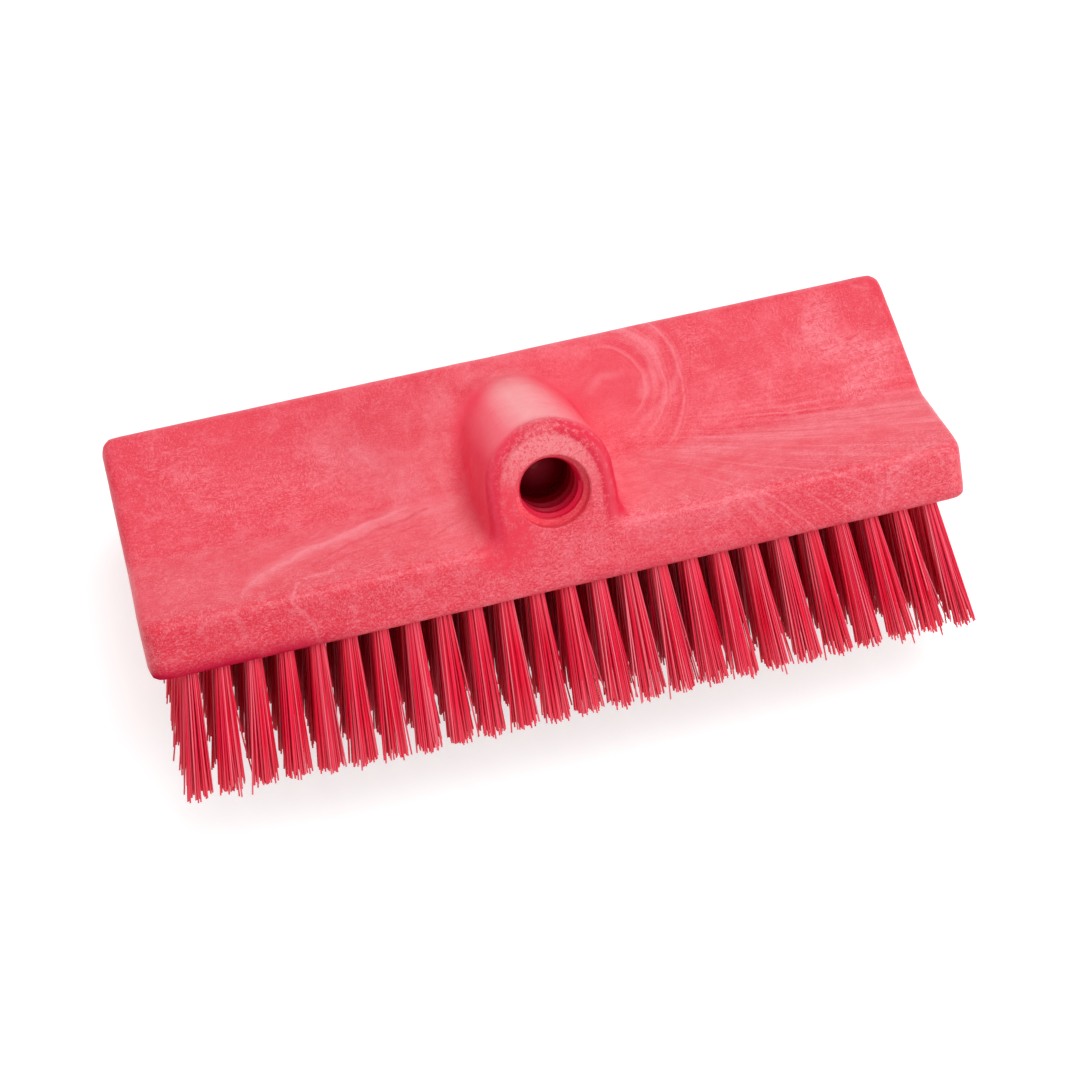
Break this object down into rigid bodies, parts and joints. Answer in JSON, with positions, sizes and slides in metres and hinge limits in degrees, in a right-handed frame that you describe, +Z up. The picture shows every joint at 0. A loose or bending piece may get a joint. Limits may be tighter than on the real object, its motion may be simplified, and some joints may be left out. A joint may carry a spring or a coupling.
{
  "type": "floor scrub brush head",
  "caption": "Bi-level floor scrub brush head: a folded foam-plastic block with an angled handle socket and fanned rows of trimmed bristle tufts on both wings.",
  "frame": {"origin": "centre of the footprint on the floor, under the rear wing's trimmed bristle tips", "axes": "+X along the brush, -Y towards the raised front wing and the handle, +Z up; the handle bore leaves up and forward at 45 degrees"},
  "size_m": [0.252, 0.1158, 0.098],
  "materials": {
    "foam_plastic": "semi-matte foamed plastic, marbled coral red",
    "bristle": "satin polyester filament, red"
  },
  "bodies": {
    "root": {"block": "foam_plastic", "bristle_row_01": "bristle", "bristle_row_02": "bristle", "bristle_row_03": "bristle", "bristle_row_04": "bristle", "bristle_row_05": "bristle", "bristle_row_06": "bristle", "bristle_row_07": "bristle", "bristle_row_08": "bristle", "bristle_row_09": "bristle", "bristle_row_10": "bristle"}
  },
  "joints": []
}
